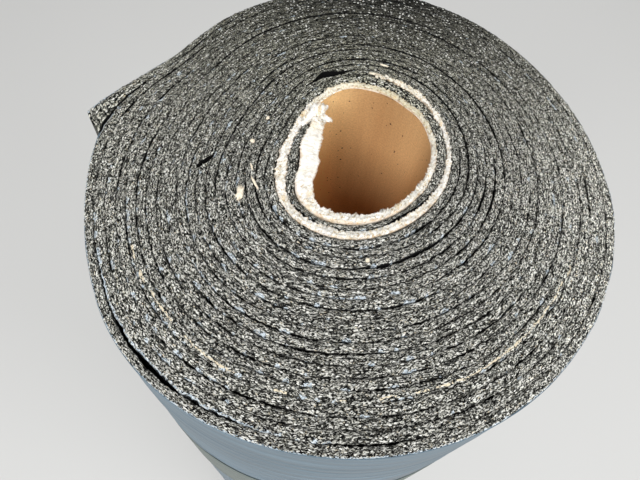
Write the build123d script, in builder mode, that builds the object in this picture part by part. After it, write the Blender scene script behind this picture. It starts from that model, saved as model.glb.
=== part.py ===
"""A roll of mineral-surfaced roofing felt, standing on its end.

One 10 m length of bitumen felt, 1 m wide and about 4 mm thick, is wound on a torn
strip of thick cardboard that makes nearly two turns, with the first turn of felt
caught between them. The roll has been squeezed in its stack, so its turns are slightly
squashed and dented rings. Millimetres, Z up, the roll standing on Z = 0 with the middle
of its outline on the Z axis. Angles are degrees counterclockwise from +X, seen from above.
"""

from build123d import *
from math import cos, degrees, exp, radians, sin
import os

# Felt
roll_length = 1000.0
outer_level = 122.4
felt_thickness = 3.5
turn_gap = 0.45
tongue_angle = 158.0
lap_end_angle = 175.0
lap_cut_slant = 5.5
lap_lift = 5.0
lap_lift_span = 22.0
loose_gap = 1.6
loose_from = -165.0
loose_to = -95.0

# Squashed shape of every turn
squash = 6.5
squash_angle = 77.0
dent = 1.9
dent_angle = 93.0
dent_turn = 14.0
core_offset_x = 3.6
core_offset_y = 8.3

# Lumps that fade from the outside or from the core: angle, height, half width, reach
outer_lumps = (
    (176.0, 5.4, 15.0, 18.0),
    (-148.0, -2.8, 17.0, 45.0),
    (-34.0, -2.0, 27.0, 45.0),
    (148.0, -3.1, 13.0, 45.0),
    (90.0, 4.6, 33.0, 45.0),
)
core_lumps = ((65.0, -3.2, 20.0, 8.0), (-154.0, -4.0, 15.0, 8.0))

# Cardboard core strip
card_thickness = 3.0
bore_level = 33.8
card_start_angle = 143.0
card_end_angle = 88.0
card_clearance = 0.2
card_proud = 1.5

# Climb of each turn over the start of the one below
climb_from = 85.0
climb_to = 170.0
climb_turns = 6

# Wrap bands
band_width = 68.0
band_thickness = 0.6
band_clearance = 0.3
band_inset = 105.0
band_bridge = 26.0

# Steps of the curves
arc_step = 30.0
outline_step = 20.0
climb_step = 15.0

# Levels: the mean radius of a face, before squash, dents and lumps
felt_gap = card_thickness + 2 * card_clearance
card_pitch = felt_gap + felt_thickness
ring_level = bore_level + card_pitch
felt_level = ring_level + felt_gap

# Running angles: they keep growing along the strip
felt_start = 360.0 + climb_to
card_stop = 720.0 + card_end_angle
build_up = outer_level - felt_thickness - felt_level
turn_count = round(build_up / (felt_thickness + turn_gap))
felt_stop = 360.0 * (turn_count + 1) + lap_end_angle
pitch = build_up * 360.0 / (felt_stop - felt_start)


def late(x):
    """Share of a turn's climb that is done at the share x of the turn."""
    start = (climb_from + 360.0 - climb_to) / 360.0
    if x <= start:
        return 0.0
    t = (x - start) / (1.0 - start)
    return t * t * (3.0 - 2.0 * t)


def felt_inner(angle):
    """Level of the felt's inner face at a running angle past its first turn."""
    x = (angle - felt_start) / 360.0
    turn = int(x // 1.0)
    share = x - turn
    spread = min(1.0, max(0, turn) / climb_turns)
    climbed = late(share) + spread * (share - late(share))
    return felt_level + pitch * (turn + climbed)


def felt_outer(angle):
    """Level of the felt's outer face: it is one sheet thickness further out."""
    return felt_inner(angle) + felt_thickness


def card_inner(angle):
    """Level of the cardboard's inner face at a running angle."""
    x = (angle - climb_to) / 360.0
    if x < 0.0:
        return bore_level
    turn = int(x // 1.0)
    return bore_level + card_pitch * min(1.0, turn + late(x - turn))


def lump(angle, depth, middle, height, half_width, reach):
    """Height of a lump at an angle, fading with depth over its reach."""
    away = (angle - middle + 180.0) % 360.0 - 180.0
    fade = min(1.0, max(0.0, 1.0 - depth / reach))
    return height * fade * exp(-((away / half_width) ** 2))


def squashed(level, angle):
    """A point of the turn at this level, squashed, dented, lumpy and shifted."""
    a = radians(angle)
    from_outside = outer_level - level
    from_core = level - bore_level - card_thickness
    share = from_outside / (outer_level - ring_level)
    radius = level + squash * cos(2 * (a - radians(squash_angle)))
    radius += dent * cos(3 * (a - radians(dent_angle + dent_turn * share)))
    radius += sum(lump(angle, from_outside, *form) for form in outer_lumps)
    radius += sum(lump(angle, from_core, *form) for form in core_lumps)
    return (core_offset_x * share + radius * cos(a), core_offset_y * share + radius * sin(a))


def angles(start, stop, step):
    """Even running angles from start to stop, no further apart than step."""
    count = max(1, -int(-abs(stop - start) // step))
    return [start + (stop - start) * i / count for i in range(count + 1)]


def lap_level(angle):
    """Outer face of the last turn, with its sprung end lifted off."""
    t = max(0.0, 1.0 - (felt_stop - angle) / lap_lift_span)
    return felt_outer(angle) + lap_lift * t * t


outline = [squashed(lap_level(a), a) for a in angles(felt_stop - 360.0, felt_stop, 1.0)]
middle_x, middle_y = ((min(side) + max(side)) / 2 for side in zip(*outline))


def wound(level, angle):
    """The same point, with the middle of the roll's outline on the origin."""
    x, y = squashed(level, angle)
    return (x - middle_x, y - middle_y)


def wound_arcs(level_at, start, stop, step=arc_step):
    """Arcs along one face of the winding, from one running angle to another."""
    marks = angles(start, stop, step)
    for a, b in zip(marks, marks[1:]):
        middle = (a + b) / 2
        ThreePointArc(
            wound(level_at(a), a),
            wound(level_at(middle), middle),
            wound(level_at(b), b),
        )


def strip_face(level_at, thickness, grow, start, stop, step):
    """Closed outline of a wound strip, made larger by grow on every side."""
    lengthen = degrees(grow / ring_level)
    first, last = start - lengthen, stop + lengthen

    def inner(angle):
        return level_at(angle) - grow

    def outer(angle):
        return level_at(angle) + thickness + grow

    wound_arcs(inner, first, last, step)
    Line(wound(inner(last), last), wound(outer(last), last))
    wound_arcs(outer, last, first, step)
    Line(wound(outer(first), first), wound(inner(first), first))


def gap_outer(angle):
    """Outer wall of the gap that parts two turns, wider where the last turn is loose."""
    level = felt_inner(angle + 360.0)
    last = felt_stop - 360.0
    place = (angle - loose_from) % 360.0 / (loose_to - loose_from)
    if last - angle < 360.0 and place < 1.0:
        level += loose_gap * sin(radians(180.0 * place)) ** 2
    return level


def bore_face(angle):
    """Inner face of the felt, outside the first turn of cardboard."""
    return card_inner(angle) + card_thickness + card_clearance


# The felt: outline with its lap end, bore, pocket for the cardboard, gap between the turns
bore_end = tongue_angle + 360.0
gap_start = card_stop - 360.0
gap_stop = felt_stop - 360.0
lap_corner = wound(lap_level(felt_stop), felt_stop)
lap_foot_angle = felt_stop + lap_cut_slant
lap_foot = wound(felt_outer(lap_foot_angle - 360.0), lap_foot_angle)

with BuildPart() as felt_roll:
    with BuildSketch(Plane.XY):
        with BuildLine():
            wound_arcs(
                felt_outer, lap_foot_angle - 360.0, felt_stop - lap_lift_span, outline_step
            )
            wound_arcs(lap_level, felt_stop - lap_lift_span, felt_stop, climb_step)
            Line(lap_corner, lap_foot)
        make_face()
        with BuildLine():
            wound_arcs(bore_face, tongue_angle, bore_end, climb_step)
            Line(
                wound(bore_face(bore_end), bore_end),
                wound(bore_face(tongue_angle), tongue_angle),
            )
        make_face(mode=Mode.SUBTRACT)
        with BuildLine():
            strip_face(
                card_inner, card_thickness, card_clearance, card_start_angle, card_stop, climb_step
            )
        make_face(mode=Mode.SUBTRACT)
        with BuildLine():
            wound_arcs(felt_outer, gap_start, gap_stop)
            Line(wound(felt_outer(gap_stop), gap_stop), wound(gap_outer(gap_stop), gap_stop))
            wound_arcs(gap_outer, gap_stop, gap_start)
            Line(wound(gap_outer(gap_start), gap_start), wound(felt_outer(gap_start), gap_start))
        make_face(mode=Mode.SUBTRACT)
    extrude(amount=roll_length)

# The cardboard core: one strip, nearly two turns
with BuildPart() as cardboard_core:
    with BuildSketch(Plane.XY.offset(card_proud)):
        with BuildLine():
            strip_face(card_inner, card_thickness, 0.0, card_start_angle, card_stop, climb_step)
        make_face()
    extrude(amount=roll_length)


def band_ring(gap):
    """Closed loop round the roll at a gap, bridging the step under the lap end."""

    def level(angle):
        return lap_level(angle) + gap

    start = felt_stop - 360.0 + band_bridge
    wound_arcs(level, start, felt_stop - lap_lift_span, outline_step)
    wound_arcs(level, felt_stop - lap_lift_span, felt_stop, climb_step)
    Line(wound(level(felt_stop), felt_stop), wound(level(start), start))


def wrap_band(height):
    """One wrap band with its lower edge at this height."""
    with BuildPart() as band:
        with BuildSketch(Plane.XY.offset(height)):
            with BuildLine():
                band_ring(band_clearance + band_thickness)
            make_face()
            with BuildLine():
                band_ring(band_clearance)
            make_face(mode=Mode.SUBTRACT)
        extrude(amount=band_width)
    return band


lower_band = wrap_band(band_inset)
upper_band = wrap_band(roll_length - band_inset - band_width)

os.makedirs("parts", exist_ok=True)
pieces = {
    "felt_roll": felt_roll,
    "cardboard_core": cardboard_core,
    "lower_band": lower_band,
    "upper_band": upper_band,
}
for name, piece in pieces.items():
    piece.part.label = name
    export_step(piece.part, f"parts/{name}.step")
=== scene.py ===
"""The roll of roofing felt, dressed on its CAD frame.

The felt is one wound sheet, the cardboard core a torn strip wound with it, and a thin film
covers the outside. Lengths are metres. Angles along the winding are running degrees, which
keep growing counterclockwise from the core outwards, seen from above.
"""
from math import cos, radians, sin

import bpy
import numpy as np
from mathutils import Matrix, Vector


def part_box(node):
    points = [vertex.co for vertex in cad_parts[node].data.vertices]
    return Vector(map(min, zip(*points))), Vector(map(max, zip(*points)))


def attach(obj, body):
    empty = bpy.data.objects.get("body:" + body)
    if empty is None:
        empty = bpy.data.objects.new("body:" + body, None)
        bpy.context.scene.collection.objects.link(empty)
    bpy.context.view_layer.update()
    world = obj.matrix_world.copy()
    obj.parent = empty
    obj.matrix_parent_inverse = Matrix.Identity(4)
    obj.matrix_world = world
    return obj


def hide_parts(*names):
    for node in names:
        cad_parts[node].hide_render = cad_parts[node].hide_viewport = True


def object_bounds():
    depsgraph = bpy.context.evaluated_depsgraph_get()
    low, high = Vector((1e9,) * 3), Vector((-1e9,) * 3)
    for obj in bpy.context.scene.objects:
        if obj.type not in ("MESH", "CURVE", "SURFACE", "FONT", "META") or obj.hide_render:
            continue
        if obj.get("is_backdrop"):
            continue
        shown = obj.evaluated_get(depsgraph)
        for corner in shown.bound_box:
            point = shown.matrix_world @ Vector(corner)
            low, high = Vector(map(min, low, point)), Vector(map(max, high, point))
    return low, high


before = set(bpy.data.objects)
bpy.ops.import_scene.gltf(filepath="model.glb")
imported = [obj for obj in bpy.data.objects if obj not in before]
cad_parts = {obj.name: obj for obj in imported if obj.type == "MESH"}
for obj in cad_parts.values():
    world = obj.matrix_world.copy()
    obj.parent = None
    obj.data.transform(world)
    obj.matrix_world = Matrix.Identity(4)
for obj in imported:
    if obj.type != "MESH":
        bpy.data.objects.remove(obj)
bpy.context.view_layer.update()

# Felt, as in the part
felt_low, felt_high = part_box("felt_roll")
roll_length = felt_high.z - felt_low.z
outer_level = 0.1224
felt_thickness = 0.0035
turn_gap = 0.00045
lap_end_angle = 175.0
lap_cut_slant = 5.5
lap_lift = 0.005
lap_lift_span = 22.0
loose_gap = 0.0016

# Squashed shape, as in the part
squash, squash_angle = 0.0065, 77.0
dent, dent_angle, dent_turn = 0.0019, 93.0, 14.0
core_offset_x, core_offset_y = 0.0036, 0.0083
outer_lumps = (
    (176.0, 0.0054, 15.0, 0.018),
    (-148.0, -0.0028, 17.0, 0.045),
    (-34.0, -0.0020, 27.0, 0.045),
    (148.0, -0.0031, 13.0, 0.045),
    (90.0, 0.0046, 33.0, 0.045),
)
core_lumps = ((65.0, -0.0032, 20.0, 0.008), (-154.0, -0.0040, 15.0, 0.008))

# Cardboard core, as in the part
card_thickness = 0.003
bore_level = 0.0338
card_start_angle, card_end_angle = 143.0, 88.0
card_clearance = 0.0002
card_proud = 0.0015
climb_from, climb_to, climb_turns = 85.0, 170.0, 6

# Wrap bands, as in the part
band_clearance, band_thickness, band_bridge = 0.0003, 0.0006, 26.0

# Worked out, as in the part
felt_gap = card_thickness + 2 * card_clearance
card_pitch = felt_gap + felt_thickness
ring_level = bore_level + card_pitch
felt_level = ring_level + felt_gap
felt_start = 360.0 + climb_to
card_stop = 720.0 + card_end_angle
build_up = outer_level - felt_thickness - felt_level
turn_count = round(build_up / (felt_thickness + turn_gap))
felt_stop = 360.0 * (turn_count + 1) + lap_end_angle
pitch = build_up * 360.0 / (felt_stop - felt_start)
last_turn_start = felt_stop - 360.0


# The winding's shape, as in the part, for whole arrays of angles

def eased(t):
    """Smooth step from 0 to 1."""
    t = np.clip(t, 0.0, 1.0)
    return t * t * (3.0 - 2.0 * t)


def late(x):
    """Share of a turn's climb that is done at the share x of the turn."""
    start = (climb_from + 360.0 - climb_to) / 360.0
    return eased((x - start) / (1.0 - start))


def felt_inner(angle):
    """Level of the felt's inner face past its first turn."""
    x = (angle - felt_start) / 360.0
    turn = np.floor(x)
    share = x - turn
    spread = np.clip(turn / climb_turns, 0.0, 1.0)
    climbed = late(share) + spread * (share - late(share))
    return felt_level + pitch * (turn + climbed)


def card_inner(angle):
    """Level of the cardboard's inner face."""
    x = (angle - climb_to) / 360.0
    turn = np.floor(x)
    climbed = np.where(x < 0.0, 0.0, turn + late(x - turn))
    return bore_level + card_pitch * np.minimum(1.0, climbed)


def swell(angle, middle, half_width):
    """One smooth hump, 1 high at its middle angle."""
    away = (angle - middle + 180.0) % 360.0 - 180.0
    return np.exp(-((away / half_width) ** 2))


def lump(angle, depth, middle, height, half_width, reach):
    """Height of a lump at an angle, fading with depth over its reach."""
    return height * np.clip(1.0 - depth / reach, 0.0, 1.0) * swell(angle, middle, half_width)


def squashed(level, angle):
    """Points of the turn at this level, squashed, dented, lumpy and shifted."""
    a = np.radians(angle)
    from_outside = outer_level - level
    from_core = level - bore_level - card_thickness
    share = from_outside / (outer_level - ring_level)
    radius = level + squash * np.cos(2 * (a - radians(squash_angle)))
    radius = radius + dent * np.cos(3 * (a - np.radians(dent_angle + dent_turn * share)))
    for form in outer_lumps:
        radius = radius + lump(angle, from_outside, *form)
    for form in core_lumps:
        radius = radius + lump(angle, from_core, *form)
    return core_offset_x * share + radius * np.cos(a), core_offset_y * share + radius * np.sin(a)


def lap_level(angle):
    """Outer face of the last turn, with its sprung end lifted off."""
    t = np.maximum(0.0, 1.0 - (felt_stop - angle) / lap_lift_span)
    return felt_inner(angle) + felt_thickness + lap_lift * t * t


outline_angles = np.linspace(last_turn_start, felt_stop, 361)
outline_x, outline_y = squashed(lap_level(outline_angles), outline_angles)
middle_x = (outline_x.min() + outline_x.max()) / 2
middle_y = (outline_y.min() + outline_y.max()) / 2


def wound(level, angle, height):
    """Points on the winding: an array with x, y and z last."""
    x, y = squashed(level, angle)
    return np.stack(np.broadcast_arrays(x - middle_x, y - middle_y, height), axis=-1)


def side_of(angle):
    """The same angle within -180 to 180."""
    return (angle + 180.0) % 360.0 - 180.0


# Random shapes, the same in each run

def wave(x, reach, seed):
    """Smooth random wave, about 1 high, with a new random value after each reach."""
    steps = (x - x.min()) / reach
    knots = np.random.default_rng(seed).normal(size=int(steps.max()) + 2)
    i = steps.astype(int)
    t = eased(steps - i)
    return knots[i] * (1 - t) + knots[i + 1] * t


def waves(x, *forms):
    """Sum of random waves, each given as its height, reach and seed."""
    return sum(height * wave(x, reach, seed) for height, reach, seed in forms)


def field(x, y, reach_x, reach_y, seed):
    """Smooth random relief over two directions, about 1 high."""
    x, y = np.broadcast_arrays(x, y)
    u, v = (x - x.min()) / reach_x, (y - y.min()) / reach_y
    knots = np.random.default_rng(seed).normal(size=(int(u.max()) + 2, int(v.max()) + 2))
    i, j = u.astype(int), v.astype(int)
    s, t = eased(u - i), eased(v - j)
    low = knots[i, j] * (1 - s) + knots[i + 1, j] * s
    high = knots[i, j + 1] * (1 - s) + knots[i + 1, j + 1] * s
    return low * (1 - t) + high * t


def grit(shape, seed):
    """Independent random values, about 1 high."""
    return np.random.default_rng(seed).normal(size=shape).clip(-2.5, 2.5)


def stations(start, stop, level_at, step):
    """Running angles from start to stop, evenly spaced along the sheet, and their lengths."""
    fine_step = 0.25
    fine = np.arange(start, stop, fine_step)
    run = np.concatenate([[0.0], np.cumsum(np.radians(np.diff(fine)) * level_at(fine)[1:])])
    along = np.linspace(0.0, run[-1], int(run[-1] / step) + 1)
    return np.interp(along, run, fine), along


# Meshes

def new_piece(name, points, faces, materials, marks, flat_faces=(), second=()):
    """A closed mesh that rides with the roll, with named vectors for its materials."""
    mesh = bpy.data.meshes.new(name)
    mesh.from_pydata(points.reshape(-1, 3).tolist(), [], faces)
    mesh.shade_smooth()
    for material in materials:
        mesh.materials.append(material)
    for mark, values in marks.items():
        layer = mesh.attributes.new(mark, "FLOAT_VECTOR", "POINT")
        layer.data.foreach_set("vector", np.ascontiguousarray(values, dtype=np.float32).ravel())
    for i in flat_faces:
        mesh.polygons[i].use_smooth = False
    for i in second:
        mesh.polygons[i].material_index = 1
    mesh.validate()
    mesh.update()
    piece = bpy.data.objects.new(name, mesh)
    bpy.context.collection.objects.link(piece)
    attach(piece, "root")
    return piece


def loft_faces(rings, ring_size):
    """Quads between rings of points, then a cap at the first ring and one at the last."""
    ring = np.arange(ring_size)
    following = (ring + 1) % ring_size
    low = (np.arange(rings - 1) * ring_size)[:, None]
    high = low + ring_size
    quads = np.stack([high + ring, high + following, low + following, low + ring], axis=-1)
    return [*quads.reshape(-1, 4).tolist(), ring.tolist(),
            (ring + (rings - 1) * ring_size)[::-1].tolist()]


# Materials

def fill(node, inputs):
    """Set a node's inputs, or link them where a socket is given."""
    for key, value in inputs.items():
        if isinstance(value, bpy.types.NodeSocket):
            node.id_data.links.new(value, node.inputs[key])
        else:
            node.inputs[key].default_value = value


def node_material(name):
    """A fresh node material, a helper that adds nodes to it, and its shader."""
    material = bpy.data.materials.new(name)
    material.use_nodes = True
    tree = material.node_tree

    def add(kind, inputs=None, **settings):
        node = tree.nodes.new("ShaderNode" + kind)
        for key, value in settings.items():
            setattr(node, key, value)
        fill(node, inputs or {})
        return node

    return material, add, tree.nodes["Principled BSDF"]


def mark_of(add, name):
    """A named vector of the mesh."""
    return add("Attribute", attribute_name=name).outputs["Vector"]


def split(add, vector):
    """X, Y and Z of a vector."""
    return add("SeparateXYZ", {"Vector": vector}).outputs


def stretched(add, place, factors):
    """Coordinates multiplied by a factor along each axis."""
    return add("VectorMath", {0: place, 1: factors}, operation="MULTIPLY").outputs[0]


def number(add, operation, *values):
    """Result of one operation on numbers or number sockets."""
    return add("Math", dict(enumerate(values)), operation=operation).outputs[0]


def ranged(add, value, low, high, to_low=0.0, to_high=1.0):
    """A value taken from one range to another, and held inside it."""
    return add("MapRange", {"Value": value, "From Min": low, "From Max": high,
                            "To Min": to_low, "To Max": to_high}).outputs[0]


def noise(add, place, scale, detail, roughness=0.5, distortion=0.0):
    """Smooth random value."""
    return add("TexNoise", {"Vector": place, "Scale": scale, "Detail": detail,
                            "Roughness": roughness, "Distortion": distortion}).outputs["Fac"]


def cells(add, place, scale=1.0):
    """Random cells: the distance from a cell's middle, and three random values a cell."""
    node = add("TexVoronoi", {"Vector": place, "Scale": scale})
    drawn = add("SeparateColor", {"Color": node.outputs["Color"]})
    return node.outputs["Distance"], drawn.outputs


def mixed(add, factor, under, over, blend_type="MIX"):
    """Mix of two colours, each a socket or three values."""
    under, over = (colour if isinstance(colour, bpy.types.NodeSocket) else (*colour, 1.0)
                   for colour in (under, over))
    return add("Mix", {"Factor": factor, 6: under, 7: over}, data_type="RGBA",
               blend_type=blend_type).outputs[2]


def multiplied(add, under, over):
    """Product of two colours."""
    return mixed(add, 1.0, under, over, "MULTIPLY")


def ramp(add, factor, *stops):
    """A colour ramp with these (place, colour) stops."""
    node = add("ValToRGB", {"Fac": factor})
    elements = node.color_ramp.elements
    while len(elements) < len(stops):
        elements.new(0.5)
    for element, (place, colour) in zip(elements, stops):
        element.position = place
        element.color = (*colour, 1.0)
    return node.outputs["Color"]


def bumped(add, height, strength, distance):
    """Normal of a surface with this relief."""
    return add("Bump", {"Height": height, "Strength": strength, "Distance": distance}).outputs[0]


def grey(value):
    """Grey of this linear brightness."""
    return (value, value, value)


def shade(red, green, blue):
    """Linear colour of an sRGB colour given in 0 to 255."""
    return tuple(((c / 255 + 0.055) / 1.055) ** 2.4 if c > 10 else c / 255 / 12.92
                 for c in (red, green, blue))


# Grains, layers and flecks a metre: along the sheet, across it and down
grain_counts = (1900.0, 3800.0, 3800.0)
layer_counts = (230.0, 2100.0, 2100.0)
fleck_counts = (640.0, 1650.0, 1650.0)
matt_specular = 0.10


def grain_colours(add, drawn):
    """Colours of mineral grains and bitumen from three random values a grain."""
    stone = ramp(add, drawn["Red"], (0.0, grey(0.0)), (0.30, grey(0.003)),
                 (0.40, shade(76, 77, 72)), (0.58, shade(142, 143, 137)),
                 (0.74, shade(232, 232, 226)), (1.0, shade(255, 255, 252)))
    tint = ramp(add, drawn["Green"], (0.0, shade(255, 255, 252)), (0.90, shade(252, 250, 244)),
                (0.96, shade(240, 224, 196)), (1.0, shade(214, 222, 230)))
    return multiplied(add, stone, tint)


def felt_material():
    """Cut felt: mineral grains in bitumen, with ragged ends of the film on its outer rim, painted
    shade down the gaps and on some sides, and painted light on one side.
    """
    material, add, shader = node_material("felt")
    place = mark_of(add, "winding")
    from_grain, grain = cells(add, stretched(add, place, grain_counts))
    lines = noise(add, stretched(add, place, layer_counts), 1.0, 2.0)
    layers = ramp(add, lines, (0.36, grey(0.10)), (0.47, grey(0.72)), (0.60, grey(1.0)))
    colour = multiplied(add, grain_colours(add, grain), layers)
    # The tone mark carries painted shade on three sides and near the core, and painted light on one
    # side
    colour = multiplied(add, colour, mark_of(add, "tone_and_painted_light"))

    # Pale flecks and dark holes, some in full and some faint
    from_fleck, fleck = cells(add, stretched(add, place, fleck_counts))
    pale = number(add, "MULTIPLY", ranged(add, fleck["Red"], 0.56, 0.80, to_high=0.92),
                  number(add, "LESS_THAN", from_fleck, 0.37))
    colour = mixed(add, pale, colour, shade(236, 236, 230))
    dark = number(add, "MULTIPLY", ranged(add, fleck["Green"], 0.60, 0.76, to_high=0.86),
                  number(add, "LESS_THAN", from_fleck, 0.42))
    colour = mixed(add, dark, colour, grey(0.003))

    # Painted shade darkens the felt with depth below its top, down the walls of the gaps and a little
    # on the rounded edges of the turns, and the film shows on the outer rim
    parts, marks = split(add, place), split(add, mark_of(add, "film_edge"))
    colour = mixed(add, ranged(add, parts["Z"], 0.00032, 0.00080), colour, grey(0.006))
    across = number(add, "DIVIDE", parts["Y"], felt_thickness)
    frayed = number(add, "ADD", across, ranged(add, grain["Blue"], 0.0, 1.0, -0.08, 0.08))
    filmed = number(add, "MULTIPLY", number(add, "GREATER_THAN", frayed, marks["X"]),
                    number(add, "GREATER_THAN", grain["Green"], 0.38))
    film = ramp(add, grain["Red"], (0.0, shade(138, 154, 166)), (1.0, shade(226, 234, 240)))
    colour = mixed(add, filmed, colour, film)

    # The line of golden fibre
    off = number(add, "ABSOLUTE", number(add, "SUBTRACT", across, marks["Y"]))
    threads = number(add, "MULTIPLY", number(add, "LESS_THAN", off, marks["Z"]),
                     number(add, "GREATER_THAN", grain["Blue"], 0.32))
    colour = mixed(add, threads, colour, shade(226, 214, 188))
    height = number(add, "MULTIPLY", number(add, "SUBTRACT", 1.0, from_grain), grain["Red"])
    fill(shader, {"Base Color": colour, "Normal": bumped(add, height, 1.0, 0.0004),
                  "Roughness": 0.8, "Specular IOR Level": matt_specular})
    return material


def cut_material():
    """The felt's end cut from top to bottom, with the same grains."""
    material, add, shader = node_material("felt_cut")
    from_grain, grain = cells(add, add("TexCoord").outputs["Object"], 1900.0)
    fill(shader, {"Base Color": multiplied(add, grain_colours(add, grain), grey(0.24)),
                  "Normal": bumped(add, from_grain, 0.8, 0.0003),
                  "Roughness": 0.8, "Specular IOR Level": matt_specular})
    return material


def film_material():
    """Thin blue-grey film with long wrinkles that lean a little, painted darker and paler along them
    as shade and sheen, and some gloss.
    """
    material, add, shader = node_material("film")
    place = mark_of(add, "winding")
    parts = split(add, place)
    leaning = number(add, "MULTIPLY_ADD", parts["X"], 0.16, parts["Z"])
    tilted = add("CombineXYZ", {"X": parts["X"], "Z": leaning}).outputs[0]
    streaks = noise(add, stretched(add, tilted, (6.0, 1.0, 150.0)), 1.0, 3.5, 0.52, 0.6)
    # The colour follows the wrinkles, darker and paler: painted shade and painted sheen on them
    colour = ramp(add, streaks, (0.28, shade(62, 81, 93)), (0.5, shade(82, 103, 117)),
                  (0.64, shade(100, 122, 136)), (0.76, shade(134, 155, 168)))
    worn = ramp(add, noise(add, place, 14.0, 3.0), (0.3, grey(0.8)), (0.65, grey(1.0)))
    fill(shader, {"Base Color": multiplied(add, colour, worn),
                  "Normal": bumped(add, streaks, 0.6, 0.0012),
                  "Roughness": ranged(add, streaks, 0.3, 0.7, 0.36, 0.52)})
    return material


def band_material():
    """Matte olive-grey wrap band."""
    material, add, shader = node_material("band")
    place = mark_of(add, "winding")
    streaks = noise(add, stretched(add, place, (14.0, 160.0, 160.0)), 1.0, 4.0)
    specks = noise(add, place, 1800.0, 2.0)
    colour = ramp(add, streaks, (0.3, shade(96, 104, 101)), (0.7, shade(112, 120, 115)))
    dusty = ramp(add, specks, (0.35, grey(0.9)), (0.65, grey(1.0)))
    fill(shader, {"Base Color": multiplied(add, colour, dusty),
                  "Normal": bumped(add, specks, 0.25, 0.0003), "Roughness": 0.62})
    return material


def kraft_material():
    """Smooth brown paper face of the cardboard, with faint stripes and dark specks, painted paler
    deeper down the bore and on two sides, and painted dark where it is hidden.
    """
    material, add, shader = node_material("kraft")
    place = mark_of(add, "winding")
    stripes = noise(add, stretched(add, place, (260.0, 200.0, 14.0)), 1.0, 4.0)
    colour = ramp(add, stripes, (0.3, shade(205, 158, 107)), (0.7, shade(211, 165, 113)))
    # Painted light: the paper is paler deeper down the bore, where shade falls
    painted_light_height = ranged(add, split(add, place)["Z"], 0.88, 1.0)
    colour = multiplied(add, colour, ramp(add, painted_light_height, (0.0, grey(1.36)), (1.0, grey(0.79))))
    grain = noise(add, place, 1100.0, 3.0)
    colour = multiplied(add, colour, ramp(add, grain, (0.35, grey(0.86)), (0.65, grey(1.10))))
    # The tone mark carries painted light on two sides of the bore wall and painted shade on the turn
    # hidden between the turns
    colour = multiplied(add, colour, mark_of(add, "tone_and_painted_light"))
    from_speck, drawn = cells(add, place, 480.0)
    size = ranged(add, drawn["Red"], 0.80, 1.0, to_high=0.24)
    speck = number(add, "LESS_THAN", from_speck, size)
    fill(shader, {"Base Color": mixed(add, speck, colour, shade(60, 36, 20)),
                  "Normal": bumped(add, stripes, 0.12, 0.0003), "Roughness": 0.6})
    return material


def torn_material():
    """Torn cardboard: white pulp with cream and orange fibres, browner along its faces."""
    material, add, shader = node_material("torn_paper")
    place = mark_of(add, "winding")
    fibres = noise(add, place, 900.0, 5.0, 0.7)
    patches = noise(add, place, 160.0, 3.0)
    pulp = ramp(add, fibres, (0.33, shade(176, 146, 104)), (0.42, shade(234, 222, 200)),
                (0.50, shade(254, 252, 248)))
    warm = ramp(add, patches, (0.30, shade(250, 236, 212)), (0.42, shade(255, 255, 254)))
    calm = add("Attribute", attribute_name="calm").outputs["Fac"]
    colour = mixed(add, calm, multiplied(add, pulp, warm), shade(244, 241, 234))
    colour = multiplied(add, colour, mark_of(add, "tone_and_painted_light"))
    share = number(add, "DIVIDE", split(add, place)["Y"], card_thickness)
    off_middle = number(add, "ABSOLUTE", number(add, "SUBTRACT", share, 0.5))
    to_face = number(add, "ADD", off_middle, number(add, "MULTIPLY", patches, 0.30))
    browned = ranged(add, to_face, 0.57, 0.70, to_high=0.55)
    fill(shader, {"Base Color": mixed(add, browned, colour, shade(206, 166, 116)),
                  "Normal": bumped(add, fibres, 0.8, 0.0008),
                  "Roughness": 0.95, "Specular IOR Level": 0.2})
    return material


def plain_material(name, colour, roughness):
    """One colour, mottled a little."""
    material, add, shader = node_material(name)
    mottle = noise(add, add("TexCoord").outputs["Object"], 1500.0, 3.0)
    darker = tuple(0.75 * c for c in colour)
    fill(shader, {"Base Color": ramp(add, mottle, (0.35, darker), (0.6, colour)),
                  "Roughness": roughness, "Specular IOR Level": matt_specular})
    return material


felt_look = felt_material()
cut_look = cut_material()
film_look = film_material()
band_look = band_material()
kraft_look = kraft_material()
torn_look = torn_material()
crumb_look = plain_material("crumb", shade(250, 238, 216), 0.9)
# Near black: the painted shade of a slit in the felt's end
slit_shade_look = plain_material("bitumen", grey(0.001), 1.0)

# The felt: one wound sheet with a granular cut edge at each end
station_step = 0.0008
split_count = 3
tongue_tip, tongue_taper, tongue_tip_share = 155.6, 6.0, 0.15

# Gap under the last turn: its share of loose_gap, and what each of the two turns gives to it
loose_angles = (-150.0, -138.0, -128.0, -122.0, -117.0, -111.0, -104.0, -96.0)
loose_shares = (0.0, 0.22, 0.85, 1.0, 0.85, 0.50, 0.36, 0.0)
pressed_share, opened_share = 0.25, 0.52

# Hollow between two turns above the core: middle angle, half width and depth in each turn
hollow_in = (109.5, 7.5, 0.0026)
hollow_out = (116.0, 7.0, 0.0031)

# The first turn of felt presses into the card inside it
pressed_from, pressed_hump, pressed_depth = 330.0, (50.0, 62.0), 0.0010

# The card gets thinner towards its end, and the felt inside it takes up the room
thin_angles = (660.0, 700.0, 732.0, 780.0, 797.0, 809.0)
thin_shares = (1.0, 0.82, 0.66, 0.44, 0.30, 0.12)

# Cracks between the first turn of felt and the ring of card outside it
crack_angles = (226.0, 232.0, 238.0, 246.0, 252.0, 258.0, 264.0, 271.0, 280.0, 287.0, 293.0,
                300.0, 306.0, 312.0, 320.0, 328.0)
crack_widths = (0.0, 0.0014, 0.0018, 0.0017, 0.0010, 0.0014, 0.0010, 0.0013, 0.0010, 0.0017,
                0.0021, 0.0018, 0.0012, 0.0015, 0.0010, 0.0)

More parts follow.
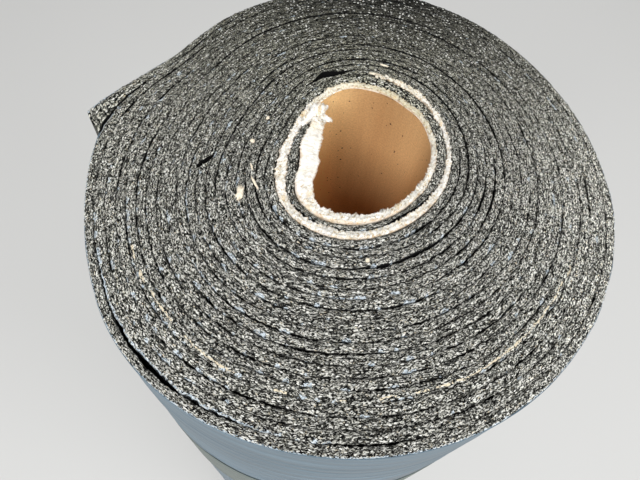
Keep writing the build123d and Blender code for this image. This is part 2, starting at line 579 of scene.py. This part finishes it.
# The line of golden fibre: its turn, counted from the outside, its place across the sheet,
# and the sides where it shows (strength, middle angle, half width)
fibre_turn = 5
fibre_angles = (-150.0, -141.0, -133.0, -125.0, -115.0, -107.0, -98.0, -92.0, -79.0, -62.0,
                -46.0, -25.0)
fibre_shares = (0.75, 0.66, 0.40, 0.48, 0.67, 0.85, 0.88, 0.80, 0.66, 0.74, 0.62, 0.70)
fibre_wander, fibre_dashes = (0.05, 0.006, 19), (0.005, 18)
fibre_half_width, fibre_fray = 0.075, (0.03, 0.002, 20)
fibre_sides, fibre_least = ((1.2, -120.0, 16.0), (1.9, -52.0, 13.0)), 0.1
off_sheet = -9.0

# Where the film's edge starts: shares of the sheet's thickness, past 1 where none shows
film_on_last, film_in_gap, film_on_rim, no_film = 0.93, 0.86, 0.98, 1.2
opened_least = 0.1

# Scraps of film left on the rims of the other turns, most of them on one side
strip_waves, strip_least, strip_width = ((1.0, 0.006, 8), (0.9, 0.0016, 9)), 1.98, 0.09
patch_waves, patch_least, patch_width = ((1.0, 0.0026, 10), (0.4, 0.02, 11)), 1.465, 0.30
scrap_side, strip_gain, patch_gain = (-135.0, 60.0), 0.78, 0.715

# Sides with painted shade, darker, and painted light, paler: middle angle, half width, strength, and
# how much more the outer turns have of it, as a power of their share of the way out
painted_light_sides = (
    (86.0, 54.0, -1.0, 0.8),
    (160.0, 45.0, -0.14, 0.0),
    (-85.0, 35.0, -0.26, 2.0),
    (-5.0, 45.0, 0.44, 1.0),
)
tone_level, tone_least, core_shade = 1.04, 0.03, 0.22
warm_side, warm_loss = (100.0, 70.0), (0.0, 0.0, 0.10)

# How much nearer to each other the turns lie than in the part, and how far they close up
# in places
tight_all, tight_far, tight_right, tight_core = 0.00012, -0.00036, 0.00006, 0.00026
far_side, right_hump, core_side, core_reach = (85.0, 60.0), (0.0, 50.0), (140.0, 45.0), 0.03
shut_height, shut_reach, shut_least = 0.00045, 0.0045, 0.45

# Relief of the edge: the far side and the turns near the core are calmer by these shares,
# and the faces of the outer turn by the last of them
shut_calm, wander_calm, rise_calm, held_calm = 0.8, 0.7, 0.55, 0.85
rise_waves = ((0.00045, 0.11, 5), (0.00020, 0.02, 6))
core_stand = 0.0007
wander_height, wander_reaches = 0.00010, (0.012, 0.035)
shiver_height, shiver_reach = 0.00012, 0.0020
lump_height, lump_size = 0.00007, (0.0022, 0.0011)
ridge_height, ridge_size = 0.00012, (0.009, 0.0008)
grain_height, wall_grain = 0.00010, 0.00008
edge_crown = 0.0004
top_shares = np.linspace(0.0, 1.0, 7)
bottom_shares = np.linspace(1.0, 0.0, 4)
bottom_height, foot_height, edge_margin = 0.0012, 0.004, 0.0005
slant_span = 12.0
wall_depths = (0.0012, 0.0035)


def loose(angle):
    """How wide the gap under the last turn is at the angles of a turn."""
    return loose_gap * np.interp(side_of(angle), loose_angles, loose_shares)


def sheet_faces(angle):
    """Levels of the sheet's inner and outer face at running angles."""
    bore_face = card_inner(angle) + card_thickness + card_clearance
    first = angle < felt_start
    inner = np.where(first, bore_face, felt_inner(angle))
    outer = inner + felt_thickness
    after_card = first & (angle > card_stop - 360.0)
    filled = felt_inner(angle + 360.0) - turn_gap
    outer = np.where(after_card, np.maximum(filled, outer), outer)
    pressed = pressed_depth * swell(angle, *pressed_hump)
    inner = inner - np.where(first & (angle > pressed_from), pressed, 0.0)
    room = card_thickness * (1.0 - np.interp(angle + 360.0, thin_angles, thin_shares, left=1.0))
    outer = outer + np.where(first & ~after_card, room, 0.0)
    outer = outer - np.interp(angle, crack_angles, crack_widths)
    tip = np.clip((angle - tongue_tip) / tongue_taper, tongue_tip_share, 1.0)
    inner = outer - (outer - inner) * tip
    second, third = (np.abs(angle - felt_start - turn * 360.0 - 180.0) < 180.0 for turn in (0, 1))
    outer = outer - np.where(second, hollow_in[2] * swell(angle, *hollow_in[:2]), 0.0)
    inner = inner + np.where(third, hollow_out[2] * swell(angle, *hollow_out[:2]), 0.0)
    last = angle > last_turn_start
    below = (angle > last_turn_start - 360.0) & ~last
    outer = np.where(angle > felt_stop - lap_lift_span, lap_level(angle), outer)
    outer = outer - np.where(below, pressed_share * loose(angle), 0.0)
    inner = inner + np.where(last, opened_share * loose(angle), 0.0)
    return inner, outer


def film_marks(angle, along):
    """Start of the film, and place and half width of the fibre line: shares of the sheet."""
    near = swell(angle, *scrap_side)
    strip = waves(along, *strip_waves) - strip_least + strip_gain * near
    patch = waves(along, *patch_waves) - patch_least + patch_gain * near
    reach = strip_width * (strip > 0.0) + patch_width * np.clip(2.0 * patch, 0.0, 1.0)
    film_edge = np.where(reach > 0.0, film_on_rim - reach, no_film)
    opened = (loose(angle) > opened_least * loose_gap) & (angle > last_turn_start - 360.0)
    film_edge = np.where(opened, film_in_gap, film_edge)
    film_edge = np.where(angle > last_turn_start, film_on_last, film_edge)
    line = np.interp(side_of(angle), fibre_angles, fibre_shares, left=off_sheet, right=off_sheet)
    line = line + waves(along, fibre_wander)
    strength = sum(gain * swell(angle, *side) for gain, *side in fibre_sides) - fibre_least
    shown = np.floor((felt_stop - angle) / 360.0) == fibre_turn - 1
    shown = shown & (wave(along, *fibre_dashes) < strength)
    width = np.where(shown, fibre_half_width + waves(along, fibre_fray), -1.0)
    return np.stack([film_edge, line, width], axis=-1)


def tone_and_painted_light(angle, level):
    """Colour of the grains with painted shade and painted light: some sides of the roll, and the
    turns near its core, are darker, and one side paler.
    """
    outward = np.clip((level - ring_level) / (outer_level - ring_level), 0.0, 1.0)
    paleness = 1.0 - core_shade * (1.0 - outward)
    for middle, half_width, strength, power in painted_light_sides:
        paleness = paleness + strength * swell(angle, middle, half_width)[:, None] * outward ** power
    warmth = swell(angle, *warm_side)[:, None] * np.array(warm_loss)
    return np.maximum(tone_least, tone_level * paleness) * (1.0 - warmth)


def felt_rings():
    """The sheet as rings of points round its cross-section, one ring a station."""
    angle, along = stations(tongue_tip, felt_stop, lambda a: sheet_faces(a)[0], station_step)
    inner, outer = sheet_faces(angle)
    far = swell(angle, *far_side)
    near_core = np.clip(1.0 - (inner - felt_level) / core_reach, 0.0, 1.0)
    near_core = near_core * swell(angle, *core_side)
    calm = np.maximum(far, near_core)
    tight = tight_all + tight_far * far + tight_right * swell(angle, *right_hump)
    tight = np.maximum(tight, tight_core * near_core)
    touching = np.clip(wave(along, shut_reach, 7) - shut_least, 0.0, 1.0)
    shut = shut_height * (1 - shut_calm * far) * touching

    def wander(seed):
        slow = waves(along, *((wander_height, reach, seed + i)
                              for i, reach in enumerate(wander_reaches)))
        quick = waves(along, (shiver_height, shiver_reach, seed + 2))
        rough = shiver_height * grit(along.shape, seed + 3)
        return slow * (1 - wander_calm * calm) + quick + rough

    held = (angle > last_turn_start) * 1.0
    inner = inner - tight / 2 + wander(101)
    outer = outer + (tight / 2 + shut) * (1 - held) + wander(111) * (1 - held_calm * held)
    stand = core_stand * (1.0 - (inner - bore_level) / (outer_level - bore_level))
    top = roll_length + waves(along, *rise_waves) * (1 - rise_calm * calm) + stand

    def edge(shares, base, sign, seed):
        crown = edge_crown * np.abs(2 * shares - 1) ** 3
        shape = (len(angle), len(shares))
        across = shares * felt_thickness
        lumps = field(along[:, None], across, *lump_size, seed)
        ridges = field(along[:, None], across, *ridge_size, seed + 3)
        relief = lump_height * lumps + ridge_height * ridges + grain_height * grit(shape, seed + 1)
        height = base[:, None] - sign * crown + relief
        level = inner[:, None] + shares * (outer - inner)[:, None]
        return level + wall_grain * grit(shape, seed + 2), height

    top_level, top_height = edge(top_shares, top, 1.0, 10)
    top_level[:, -1] = np.where(held > 0.0, np.minimum(top_level[:, -1], outer), top_level[:, -1])
    low_level, low_height = edge(bottom_shares, np.full_like(top, bottom_height), -1.0, 20)
    low_height = np.maximum(low_height, 0.0)

    # Round the cross-section: top edge, outer wall, bottom edge, inner wall
    foot = np.full((len(angle), 1), foot_height)
    levels, heights, shares = [top_level], [top_height], list(top_shares)
    for depth in wall_depths:
        rough = wall_grain * (1 - held) * grit(angle.shape, int(depth * 1e5))
        levels.append((outer + rough)[:, None])
        heights.append((top - depth)[:, None])
        shares.append(1.0)
    levels += [outer[:, None], low_level, inner[:, None]]
    heights += [foot, low_height, foot]
    shares += [1.0, *bottom_shares, 0.0]
    for depth in reversed(wall_depths):
        rough = wall_grain * grit((len(angle), 1), int(depth * 1e5) + 1)
        levels.append(inner[:, None] + rough)
        heights.append((top - depth)[:, None])
        shares.append(0.0)
    level, height = np.concatenate(levels, axis=1), np.concatenate(heights, axis=1)
    shares = np.array(shares)
    slanted = eased((angle - felt_stop + slant_span) / slant_span)
    lean = lap_cut_slant * slanted[:, None] * (1.0 - shares)
    points = wound(level, angle[:, None] + lean, height)
    across = np.broadcast_to(shares * felt_thickness, level.shape)
    depth = np.maximum(0.0, np.minimum(top[:, None] - height, height + edge_margin))
    winding = np.stack([np.broadcast_to(along[:, None], level.shape), across, depth], axis=-1)
    marks = {
        "winding": winding,
        "film_edge": np.broadcast_to(film_marks(angle, along)[:, None, :], points.shape),
        "tone_and_painted_light": np.broadcast_to(tone_and_painted_light(angle, level[:, :1])[:, None, :], points.shape),
    }
    return points, marks


def make_felt():
    """The sheet in a few lengths that meet end to end."""
    points, marks = felt_rings()
    cuts = np.linspace(0, len(points) - 1, split_count + 1).astype(int)
    for count, (first, last) in enumerate(zip(cuts, cuts[1:])):
        faces = loft_faces(last - first + 1, points.shape[1])
        ends = (len(faces) - 2, len(faces) - 1)
        piece = new_piece("felt_turns_%d" % (count + 1), points[first:last + 1], faces,
                          [felt_look, cut_look],
                          {mark: values[first:last + 1] for mark, values in marks.items()},
                          flat_faces=ends, second=ends)
        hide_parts("felt_roll")


make_felt()

# The cardboard core: the first turn's torn edge spreads inward, most of all at the flap
card_step = 0.0005
card_top_shares = np.linspace(0.0, 1.0, 9)
card_depths = (0.0012, 0.003, 0.006, 0.010, 0.016, 0.025, 0.040, 0.080, 0.200, 0.500)
spread_angles = (143.0, 150.0, 156.0, 170.0, 185.0, 200.0, 216.0, 229.0, 235.0, 244.0, 258.0,
                 275.0, 300.0, 560.0, 600.0, 635.0, 665.0)
spread_widths = (0.0036, 0.0032, 0.0030, 0.0042, 0.0048, 0.0056, 0.0070, 0.0060, 0.0030, 0.0012,
                 0.0022, 0.0010, 0.0, 0.0, 0.0006, 0.0016, 0.0002)
spread_fall = 0.012
card_rise = (0.0005, 0.012, 31)
slope_share, slope_least, slope_power = 0.55, 0.0008, 1.5
calm_angles, calm_shares = (150.0, 165.0, 215.0, 228.0), (0.0, 0.6, 0.6, 0.0)
ragged_height, pulp_height, fray_height, outer_ragged = 0.00035, 0.00030, 0.00016, 0.7

# Cream sides of the torn edge's first turn, of its second and of both, how strong the last
# two are, and what cream takes from red, green and blue
first_cream, second_cream, near_cream = (70.0, 65.0), (80.0, 30.0), (-80.0, 45.0)
second_gain, near_gain = 0.5, 0.20
cream_waves, cream_loss = (0.12, 0.003, 36), (0.28, 0.32, 0.46)

# The brown wall: its tone, two sides with painted light, and painted shade on its share between the
# turns
wall_tone, painted_shade_share = 0.88, 0.06
left_side, left_light = (128.0, 24.0), (0.85, 1.15, 1.30)
right_side, right_light = (33.0, 26.0), (0.34, 0.44, 0.54)


def make_core():
    """The cardboard strip, with torn pulp on its top edge and brown paper on its faces."""
    angle, along = stations(card_start_angle, card_stop, card_inner, card_step)
    inner = card_inner(angle)
    thin = np.interp(angle, thin_angles, thin_shares, left=1.0)
    outer = inner + card_thickness
    inner = outer - card_thickness * thin
    first = angle < card_start_angle + 360.0
    outer = outer - first * pressed_depth * swell(angle, *pressed_hump)
    top = roll_length + card_proud + waves(along, card_rise)
    spread = np.interp(angle, spread_angles, spread_widths)
    slope = spread * slope_share + slope_least
    calm = np.interp(angle, calm_angles, calm_shares)
    ragged = ragged_height * (grit(angle.shape, 32) + wave(along, 0.003, 33)) * (1 - 0.3 * calm)
    levels, heights, shares = [], [], []

    def put(level, height, share):
        levels.append(np.broadcast_to(level, angle.shape))
        heights.append(np.broadcast_to(height, angle.shape))
        shares.append(share)

    # Round the cross-section: torn top edge, outer face, inner face
    for row, share in enumerate(card_top_shares):
        lumps = pulp_height * ((1 - 0.8 * calm) * grit(angle.shape, 40 + row)
                               + wave(along, 0.004, 60 + row))
        inward = (spread + np.where(share == 0.0, ragged, 0.0)) * (1 - share)
        frayed = fray_height * grit(angle.shape, 50 + row) + outer_ragged * ragged * share
        put(inner + (outer - inner) * share - inward + frayed,
            top - slope * (1 - share) ** slope_power + lumps, share)
    for depth in card_depths:
        put(outer, top - depth, 1.0)
    put(outer, card_proud, 1.0)
    put(inner, card_proud, 0.0)
    for depth in reversed(card_depths):
        put(inner - spread * np.exp(-depth / spread_fall), top - slope - depth, 0.0)
    level, height = np.stack(levels, axis=1), np.stack(heights, axis=1)
    points = wound(level, angle[:, None], height)
    across = np.broadcast_to(np.array(shares) * card_thickness, level.shape)
    winding = np.stack([np.broadcast_to(along[:, None], level.shape), across, height], axis=-1)

    # Colours of the torn edge, and of the wall with its painted light and painted shade
    cream = np.where(first, swell(angle, *first_cream), second_gain * swell(angle, *second_cream))
    cream = cream + near_gain * swell(angle, *near_cream) + waves(along, cream_waves)
    cream = 1.0 - np.clip(cream, 0.0, 1.0)[:, None, None] * np.array(cream_loss)
    # Painted light on two sides of the wall, and painted shade on the second turn, hidden between the
    # turns
    lit = wall_tone + swell(angle, *left_side)[:, None] * np.array(left_light) \
        + swell(angle, *right_side)[:, None] * np.array(right_light)
    lit = lit * np.where(first, 1.0, painted_shade_share)[:, None]
    size, torn = points.shape[1], len(card_top_shares)
    is_torn = np.arange(size) <= torn + 1
    colour = np.where(is_torn[None, :, None], cream, lit[:, None, :])

    faces = loft_faces(len(points), size)
    ring_starts = np.arange(len(points) - 1)[:, None] * size
    smooth_faces = (ring_starts + np.arange(torn + 1, size - 1)).ravel().tolist()
    marks = {"winding": winding, "tone_and_painted_light": np.broadcast_to(colour, points.shape),
             "calm": np.broadcast_to(calm[:, None, None], points.shape)}
    piece = new_piece("core_strip", points, faces, [torn_look, kraft_look], marks,
                      flat_faces=(len(faces) - 2, len(faces) - 1), second=smooth_faces)
    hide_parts("cardboard_core")


make_core()

# Tufts, crumbs and a near-black patch of painted shade for a slit on the end: name, level, angle,
# height above the felt, half sizes, turn, seed, slot, look
tufts = (
    ("torn_tuft", 0.0362, 141.5, 0.0012, (0.0042, 0.0034, 0.0016), 10.0, 90, "core_card", torn_look),
    ("torn_tip", 0.0305, 144.0, 0.0008, (0.0014, 0.0034, 0.0010), 6.0, 92, "core_card", torn_look),
    ("torn_root", 0.0384, 150.0, 0.0006, (0.0062, 0.0022, 0.0014), 4.0, 93, "core_card", torn_look),
    ("torn_end", 0.0440, 88.8, 0.0013, (0.0020, 0.0005, 0.0005), -4.0, 91, "core_card", crumb_look),
    ("crumb_1", 0.0583, -147.7, 0.0014, (0.0034, 0.0014, 0.0010), 148.0, 95, "core_card", crumb_look),
    ("crumb_2", 0.0520, -150.0, 0.0014, (0.0034, 0.0005, 0.0004), 3.0, 96, "core_card", crumb_look),
    ("crumb_3", 0.0538, -160.0, 0.0014, (0.0018, 0.0004, 0.0004), 2.0, 97, "core_card", crumb_look),
    ("crumb_4", 0.0572, -177.0, 0.0014, (0.0008, 0.0010, 0.0008), 0.0, 98, "core_card", crumb_look),
    ("crumb_5", 0.0562, 164.8, 0.0014, (0.0009, 0.0007, 0.0006), 0.0, 99, "core_card", crumb_look),
    ("crumb_6", 0.0523, 83.6, 0.0014, (0.0021, 0.0004, 0.0004), -8.0, 100, "core_card", crumb_look),
    ("crumb_7", 0.0537, -85.7, 0.0014, (0.0007, 0.0009, 0.0008), 0.0, 101, "core_card", crumb_look),
    # A near-black sliver: painted shade of a slit in the felt
    ("dark_slit_shade", 0.0740, -167.5, 0.0005, (0.0040, 0.0011, 0.0005), -48.0, 94, "felt",
     slit_shade_look),
)
tuft_rings, tuft_columns, tuft_roughness = 14, 20, 0.22


def make_tuft(name, level, angle, height, half_sizes, turn, seed, slot, look):
    """A ragged lump: a ball stretched along the winding and roughened."""
    polar = np.linspace(0.0, np.pi, tuft_rings + 2)[1:-1, None]
    across = np.linspace(0.0, 2 * np.pi, tuft_columns, endpoint=False)[None, :]
    rough = 1.0 + tuft_roughness * grit((tuft_rings, tuft_columns), seed)
    ball = np.stack([np.cos(polar) + 0 * across, np.sin(polar) * np.cos(across),
                     np.sin(polar) * np.sin(across)], axis=-1) * rough[..., None]
    ball = ball * np.array(half_sizes)
    a = radians(angle + 90.0 + turn)
    spin = np.array([[cos(a), sin(a), 0.0], [-sin(a), cos(a), 0.0], [0.0, 0.0, 1.0]])
    centre = wound(np.array(level), np.array(angle), np.array(roll_length + height))
    points = ball @ spin + centre
    inside = points.copy()
    inside[..., 1] = card_thickness / 2
    new_piece(name, points, loft_faces(tuft_rings, tuft_columns), [look],
              {"winding": inside, "tone_and_painted_light": np.ones_like(points)})


for tuft in tufts:
    make_tuft(*tuft)

# The film on the outside, in three lengths that meet under the wrap bands
film_lift, film_inset, film_end_gap = 0.00018, 0.0002, 0.3
film_columns = 260
rim_step, middle_step = 0.0009, 0.0026
rim_drop, rim_waves, rim_power = 0.0010, ((0.0003, 0.006, 75), (0.0002, 0.02, 76)), 8
band_boxes = [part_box(name) for name in ("lower_band", "upper_band")]
seams = [(low.z + high.z) / 2 for low, high in band_boxes]
film_start = last_turn_start + lap_cut_slant

# Wrinkles of the film: they lean, never dip into the felt, and fade at the bands and the rim
cloud_height, clouds = 0.00022, (0.16, 0.022, 71)
fold_height, folds, fold_lean = 0.00030, (0.11, 0.0060, 72), 0.05
ripple_height, ripples, ripple_lean = 0.00010, (0.06, 0.0030, 73), 0.09
creases, crease_height, crease_half_width = 46, 0.00035, 0.0013
relief_softness = 0.0001
fade_at_band, fade_at_rim = 0.004, 0.008


def film_relief(s, z):
    """Height of the film's wrinkles at a place round the roll and up it."""
    slant = z + fold_lean * s
    relief = cloud_height * field(s, slant, *clouds)
    relief = relief + fold_height * (0.5 - np.abs(field(s, slant, *folds)))
    relief = relief + ripple_height * field(s, z + ripple_lean * s, *ripples)
    random = np.random.default_rng(74)
    for _ in range(creases):
        s0, z0 = random.uniform(0.0, 0.8), random.uniform(0.0, 1.0)
        lean, length = random.uniform(0.10, 0.55), random.uniform(0.03, 0.12)
        far = (s - s0) / length
        off = (z - z0 - lean * (s - s0)) / crease_half_width
        relief = relief + crease_height * np.exp(-far ** 4 - off ** 2)
    relief = relief_softness * np.logaddexp(0.0, relief / relief_softness)
    for low, high in band_boxes:
        beyond = np.maximum(low.z - z, z - high.z)
        relief = relief * np.clip(beyond / fade_at_band, 0.0, 1.0)
    return relief * np.clip((roll_length - z) / fade_at_rim, 0.1, 1.0)


def make_shell(name, outer, inner, s, look, looped):
    """Closed shell: a fine outer grid and a plain inner face with the same columns."""
    rows, columns = outer.shape[:2]
    points = np.concatenate([outer, inner], axis=0)
    along = np.broadcast_to(s, points.shape[:2])
    winding = np.stack([along, np.full(along.shape, felt_thickness), points[..., 2]], axis=-1)
    ring = rows + 2
    faces = []
    for c in range(columns if looped else columns - 1):
        d = (c + 1) % columns
        for r in range(ring):
            q = (r + 1) % ring
            faces.append((r * columns + c, r * columns + d, q * columns + d, q * columns + c))
    ends = []
    if not looped:
        ends = [len(faces), len(faces) + 1]
        faces.append([r * columns for r in range(ring)])
        faces.append([r * columns + columns - 1 for r in range(ring)][::-1])
    return new_piece(name, points, faces, [look], {"winding": winding}, flat_faces=ends)


def make_film(name, low, high, row_step):
    """One length of the film, with an uneven rim where it reaches an end of the roll."""
    angle = np.linspace(film_start, felt_stop - film_end_gap, film_columns)
    s = np.concatenate([[0.0], np.cumsum(np.radians(np.diff(angle)) * outer_level)])
    outer_face = sheet_faces(angle)[1]
    rows = int((high - low) / row_step) + 1
    z = np.linspace(low, high, rows)[:, None]
    rim = rim_drop + waves(s, *rim_waves)
    share = (z - low) / (high - low)
    if high == roll_length:
        z = z - rim * share ** rim_power
    if low == 0.0:
        z = z + rim * (1 - share) ** rim_power
    z = np.broadcast_to(z, (rows, film_columns))
    level = outer_face + film_lift + film_relief(s[None, :], z)
    outer = wound(level, angle[None, :], z)
    back = outer_face - film_inset
    inner = np.stack([wound(back, angle, z[-1]), wound(back, angle, z[0])])
    piece = make_shell(name, outer, inner, s, film_look, looped=False)
    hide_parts("felt_roll")


make_film("film_bottom", 0.0, seams[0], rim_step)
make_film("film_middle", seams[0], seams[1], middle_step)
make_film("film_top", seams[1], roll_length, rim_step)

# The wrap bands, each a closed loop that bridges the step under the lap end
band_columns, bridge_columns, band_rows = 300, 12, 10
sag_middle, sag_height, sag_size = 0.5, 0.15, (0.05, 0.02)
edge_wave, edge_reach = 0.0006, 0.03


def make_band(name, low, high, seed):
    """One wrap band, uneven by less than its thickness, with gently wavy edges."""
    angle = np.linspace(last_turn_start + band_bridge, felt_stop, band_columns)
    share = np.linspace(0.0, 1.0, bridge_columns + 2)[1:-1, None]

    def loop(gap):
        turn = wound(lap_level(angle) + gap, angle, 0.0)
        return np.concatenate([turn, turn[-1] + (turn[0] - turn[-1]) * share])

    z = np.linspace(low, high, band_rows)[:, None]
    columns = band_columns + bridge_columns
    s = np.arange(columns) * (2 * np.pi * outer_level / columns)
    sag = (sag_middle + sag_height * field(s[None, :], z, *sag_size, seed))[..., None]
    outer = loop(band_clearance + band_thickness)[None] * sag \
        + loop(band_clearance + 0.5 * band_thickness)[None] * (1 - sag)
    outer[..., 2] = z + edge_wave * wave(s, edge_reach, seed + 1) * (2 * (z > z[0]) - 1)
    inner = np.stack([loop(band_clearance), loop(band_clearance)])
    inner[0, :, 2], inner[1, :, 2] = outer[-1, :, 2], outer[0, :, 2]
    piece = make_shell(name + "_wrap", outer, inner, s, band_look, looped=True)
    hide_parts(name)


for name, (low, high), seed in zip(("lower_band", "upper_band"), band_boxes, (81, 83)):
    make_band(name, low.z, high.z, seed)

# Floor, light and world
floor_half = 6.0
floor_mesh = bpy.data.meshes.new("floor")
floor_mesh.from_pydata([(-floor_half, -floor_half, 0), (floor_half, -floor_half, 0),
                        (floor_half, floor_half, 0), (-floor_half, floor_half, 0)], [],
                       [(0, 1, 2, 3)])
floor = bpy.data.objects.new("floor", floor_mesh)
bpy.context.collection.objects.link(floor)
floor_look, _, floor_shader = node_material("floor")
fill(floor_shader, {"Base Color": (0.60, 0.60, 0.59, 1.0), "Roughness": 0.9})
floor_mesh.materials.append(floor_look)
floor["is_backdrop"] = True

world = bpy.data.worlds.new("world")
bpy.context.scene.world = world
world.use_nodes = True
fill(world.node_tree.nodes["Background"], {"Color": (1.0, 1.0, 1.0, 1.0), "Strength": 0.55})


def area_light(name, place, target_height, size, power):
    """A soft square lamp aimed at the roll's axis."""
    light = bpy.data.lights.new(name, "AREA")
    light.size = size
    light.energy = power
    lamp = bpy.data.objects.new(name, light)
    lamp.location = place
    aim = Vector((0.0, 0.0, target_height)) - Vector(place)
    lamp.rotation_euler = aim.to_track_quat("-Z", "Y").to_euler()
    bpy.context.collection.objects.link(lamp)


area_light("key", (-0.9, -2.6, 3.2), 0.8, 1.6, 108.0)
area_light("fill", (2.4, -1.4, 2.4), 0.7, 2.0, 44.0)
area_light("back", (0.6, 2.6, 2.8), 0.7, 2.0, 20.0)

# Camera: measured from the photograph
focal_pixels, image_width, sensor_width = 500.0, 640.0, 36.0
camera_tilt = 58.126
camera_roll = 7.069
camera_distance = 0.20127
camera_aim = (-0.01212, -0.04284)

tilt, roll = radians(camera_tilt), radians(camera_roll)
forward = Vector((0.0, cos(tilt), -sin(tilt)))
right = Vector((1.0, 0.0, 0.0))
up = right.cross(forward)
turned_right = cos(roll) * right + sin(roll) * up
turned_up = cos(roll) * up - sin(roll) * right
camera_data = bpy.data.cameras.new("camera")
camera_data.sensor_fit = "HORIZONTAL"
camera_data.sensor_width = sensor_width
camera_data.lens = sensor_width * focal_pixels / image_width
camera_data.clip_start = 0.01
camera = bpy.data.objects.new("camera", camera_data)
aim = Vector((camera_aim[0] - middle_x, camera_aim[1] - middle_y, roll_length))
axes = Matrix((turned_right, turned_up, -forward)).transposed()
camera.matrix_world = Matrix.Translation(aim - camera_distance * forward) @ axes.to_4x4()
bpy.context.collection.objects.link(camera)
bpy.context.scene.camera = camera
bpy.context.scene.view_settings.view_transform = "Standard"

low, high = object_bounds()
